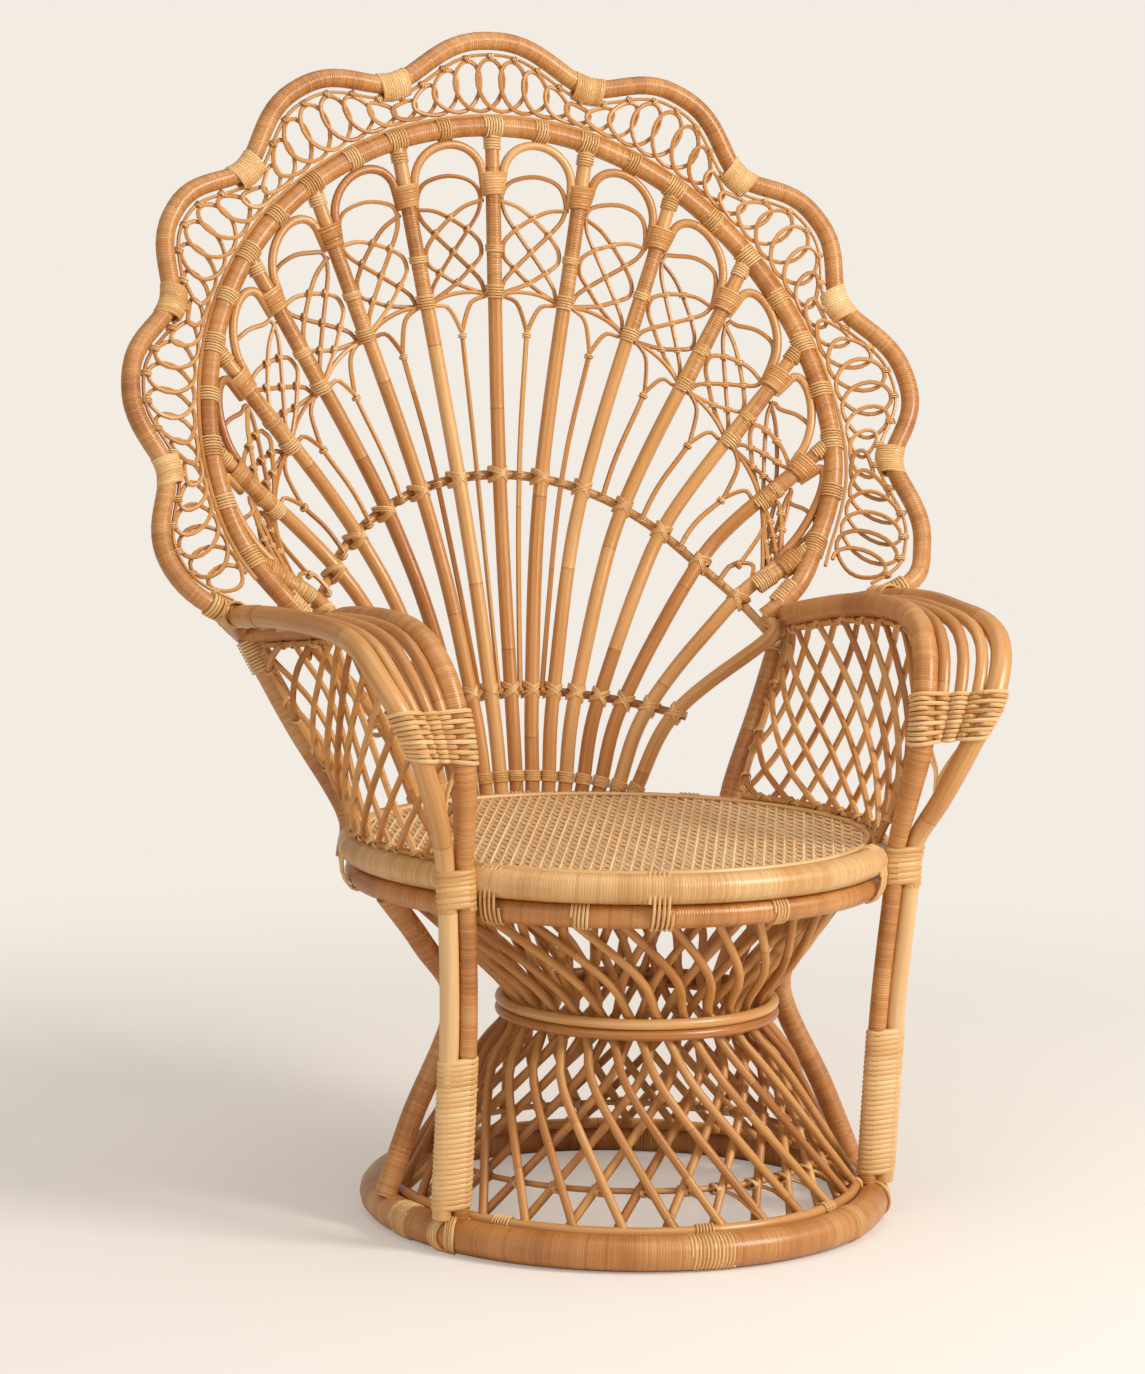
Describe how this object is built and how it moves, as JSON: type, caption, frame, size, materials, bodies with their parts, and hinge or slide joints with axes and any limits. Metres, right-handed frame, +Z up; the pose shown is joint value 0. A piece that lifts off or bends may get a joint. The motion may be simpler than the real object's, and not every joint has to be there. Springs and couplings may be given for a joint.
{
  "type": "peacock chair",
  "caption": "Rattan peacock chair: a high hooped fan back with a scalloped lace border, bent cane arms, a round caned seat and a crossed-stake pedestal.",
  "frame": {"origin": "on the floor under the middle of the chair's bounding box", "axes": "+Z up, the sitter faces -Y, +X to the sitter's left; the chair is the same on both sides of X = 0"},
  "size_m": [1.036, 0.8044, 1.3773],
  "materials": {
    "wrapped_cane": "peel-wrapped rattan, satin",
    "natural_cane": "natural rattan pole, semi-gloss",
    "cane_webbing": "woven cane webbing, satin",
    "pale_binding": "split cane binding, satin",
    "thin_cane": "thin rattan core, satin"
  },
  "bodies": {
    "root": {"base_ring": "wrapped_cane", "outer_stakes_with_foot_ring": "thin_cane", "inner_stakes_with_weaver": "thin_cane", "waist_ring_upper": "natural_cane", "waist_ring_lower": "natural_cane", "side_leg_left": "wrapped_cane", "side_leg_right": "wrapped_cane", "seat_ring_upper": "wrapped_cane", "seat_ring_lower": "wrapped_cane", "seat_cane_panel": "cane_webbing", "seat_spline": "pale_binding", "back_upright_left": "wrapped_cane", "inner_rail_left": "wrapped_cane", "outer_rail_left": "natural_cane", "arm_weave_left": "pale_binding", "post_binding_left": "pale_binding", "back_upright_right": "wrapped_cane", "inner_rail_right": "wrapped_cane", "outer_rail_right": "natural_cane", "arm_weave_right": "pale_binding", "post_binding_right": "pale_binding", "arm_lattice_left": "thin_cane", "arm_lattice_right": "thin_cane", "hoop": "wrapped_cane", "scalloped_frame": "wrapped_cane", "lace_edge_outer": "thin_cane", "lace_edge_inner": "thin_cane", "frame_collar_4_left": "pale_binding", "frame_collar_3_left": "pale_binding", "frame_collar_2_left": "pale_binding", "frame_collar_1_left": "pale_binding", "frame_collar_1_right": "pale_binding", "frame_collar_2_right": "pale_binding", "frame_collar_3_right": "pale_binding", "frame_collar_4_right": "pale_binding", "lace_loops": "thin_cane", "spoke_7_left": "natural_cane", "spoke_6_left": "natural_cane", "spoke_5_left": "natural_cane", "spoke_4_left": "natural_cane", "spoke_3_left": "natural_cane", "spoke_2_left": "natural_cane", "spoke_1_left": "natural_cane", "spoke_middle": "natural_cane", "spoke_1_right": "natural_cane", "spoke_2_right": "natural_cane", "spoke_3_right": "natural_cane", "spoke_4_right": "natural_cane", "spoke_5_right": "natural_cane", "spoke_6_right": "natural_cane", "spoke_7_right": "natural_cane", "upper_arch": "natural_cane", "lower_arch": "natural_cane", "petal_garland": "natural_cane", "fan_lattice": "thin_cane"}
  },
  "joints": []
}
